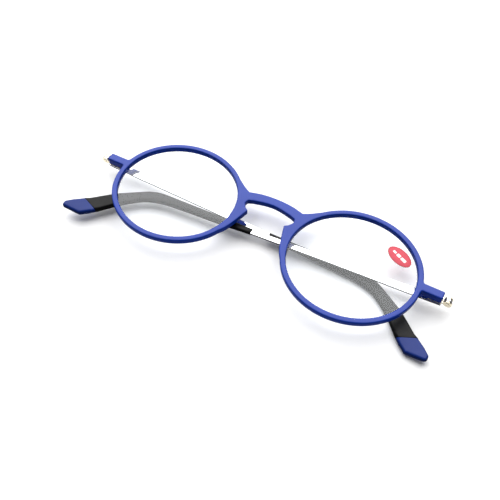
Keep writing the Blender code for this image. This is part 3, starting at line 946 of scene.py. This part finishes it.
def film_material(name, dark, light, rough):
    m, nt, b = material(name)
    c = node(nt, "ShaderNodeTexCoord").outputs["Object"]
    nt.links.new(ramp(nt, noise(nt, c, 800.0, 3.0), ((0.3, dark), (0.7, light))), b.inputs["Base Color"])
    nt.links.new(ranged(nt, noise(nt, c, 1500.0, 3.0), *rough), b.inputs["Roughness"])
    bumped(nt, b, ((noise(nt, c, 6000.0, 3.0), 0.08, 0.00001),))
    return m


def shaded_steel_edge():
    """The cut edge of the strip, duller than its faces and painted near-black as shade."""
    m, nt, b = material("painted_shade_steel_edge")
    c = node(nt, "ShaderNodeTexCoord").outputs["Object"]
    lines = noise(nt, c, 3000.0, 3.0, stretch=(0.05, 1.0, 1.0))
    nt.links.new(ramp(nt, lines, ((0.3, (0.020, 0.020, 0.024)), (0.7, (0.045, 0.045, 0.052)))), b.inputs["Base Color"])
    nt.links.new(ranged(nt, lines, 0.28, 0.42), b.inputs["Roughness"])
    bumped(nt, b, ((lines, 0.1, 0.00001),))
    b.inputs["Metallic"].default_value = 1.0
    return m


def dress(ob, *mats):
    if ob.data.materials:
        ob.data.materials.clear()
    for m in mats:
        ob.data.materials.append(m)


# On each plastic the walls are darkened by painted shade (0.6 of the colour left by default, 0.35 on the caps).
BLUE = plastic("blue_plastic", (0.002, 0.030, 0.295), (0.003, 0.035, 0.325), (0.28, 0.38), 0.10, spec=0.34, wall_shade=0.6)
BLUE_CAP = plastic("blue_cap_plastic", (0.003, 0.020, 0.165), (0.004, 0.024, 0.185), (0.32, 0.42), 0.10, spec=0.24, wall_shade=0.35)
BLACK = plastic("black_plastic", (0.003, 0.003, 0.003), (0.005, 0.005, 0.005), (0.34, 0.46), 0.14, spec=0.16)
STEEL, EDGE_SHADE, NICKEL, CLEAR = steel(), shaded_steel_edge(), nickel(), clear()
RED = film_material("red_film", (0.52, 0.006, 0.034), (0.58, 0.010, 0.044), (0.34, 0.46))
DARK_RED = film_material("dark_red_border", (0.38, 0.010, 0.018), (0.44, 0.014, 0.026), (0.34, 0.46))
WHITE = film_material("white_print", (0.88, 0.88, 0.88), (0.95, 0.95, 0.95), (0.35, 0.5))

dress(front(), BLUE)
dress(label(), RED)
dress(label_rim(), DARK_RED)
for bar in print_marks():
    dress(bar, WHITE)
for side in ("left", "right"):
    dress(lens(side), CLEAR)
    dress(strip(side), STEEL, EDGE_SHADE)
    dress(sleeve(side), BLACK)
    dress(cap(side), BLUE_CAP)
    for part in hinge(side):
        dress(part, NICKEL)

# ---------------------------------------------------------------- stage


def floor():
    bm = bmesh.new()
    n, half = 24, 1.2
    rows = [[bm.verts.new((-half + 2 * half * i / n, -half + 2 * half * j / n, 0.0)) for i in range(n + 1)] for j in range(n + 1)]
    for p, q in zip(rows, rows[1:]):
        for i in range(n):
            bm.faces.new((p[i], p[i + 1], q[i + 1], q[i]))
    me = bpy.data.meshes.new("floor")
    bm.to_mesh(me)
    bm.free()
    ob = bpy.data.objects.new("floor", me)
    scene.collection.objects.link(ob)
    m, nt, b = material("white_table")
    c = node(nt, "ShaderNodeTexCoord").outputs["Object"]
    nt.links.new(ramp(nt, noise(nt, c, 6.0), ((0.3, (0.955, 0.955, 0.955)), (0.7, (0.97, 0.97, 0.97)))), b.inputs["Base Color"])
    b.inputs["Roughness"].default_value = 0.9
    b.inputs["Specular IOR Level"].default_value = 0.1
    dress(ob, m)
    ob.location.z = -0.00002
    return ob


floor()

# the camera, by its place over the front and the way it is turned
RIGHT = Vector((0.88017, 0.47464, -0.00342))
DOWN = Vector((0.38405, -0.71637, -0.58251))
AHEAD = Vector((-0.27893, 0.51140, -0.81282))
EYE = Vector((3.5953, -8.4519, 221.6646))
cam_data = bpy.data.cameras.new("camera")
cam_data.sensor_width = 36.0
cam_data.lens = 660.0 / 500.0 * 36.0
cam_data.clip_start = 0.01
cam = bpy.data.objects.new("camera", cam_data)
scene.collection.objects.link(cam)
place = -(RIGHT * EYE.x + DOWN * EYE.y + AHEAD * EYE.z)
turn = Matrix((RIGHT, -DOWN, -AHEAD)).transposed().to_4x4()
cam.matrix_world = Matrix.Translation(at(place)) @ turn
scene.camera = cam


def softbox(name, spot, aim, size, power, spread=180):
    data = bpy.data.lights.new(name, "AREA")
    data.shape = "RECTANGLE"
    data.size, data.size_y = size
    data.energy = power
    data.spread = math.radians(spread)
    ob = bpy.data.objects.new(name, data)
    scene.collection.objects.link(ob)
    ob.location = spot
    ob.rotation_mode = "QUATERNION"
    ob.rotation_quaternion = (Vector(aim) - Vector(spot)).to_track_quat("-Z", "Y")
    return ob


def radiance(size, value):
    """The power of an area light with that radiance."""
    return value * math.pi * size[0] * size[1]


# a wide panel where the flat faces mirror it towards the camera
mirror = Vector((AHEAD.x, AHEAD.y, -AHEAD.z)).normalized()
size = (1.5, 1.25)
softbox("key", mirror * 0.9, (0, 0, 0), size, radiance(size, 3.6))

world = bpy.data.worlds.new("studio")
scene.world = world
world.use_nodes = True
bg = world.node_tree.nodes["Background"]
bg.inputs["Color"].default_value = (1.0, 1.0, 1.0, 1.0)
bg.inputs["Strength"].default_value = 0.22

scene.view_settings.view_transform = "Standard"
scene.view_settings.look = "None"
scene.view_settings.exposure = 0.0
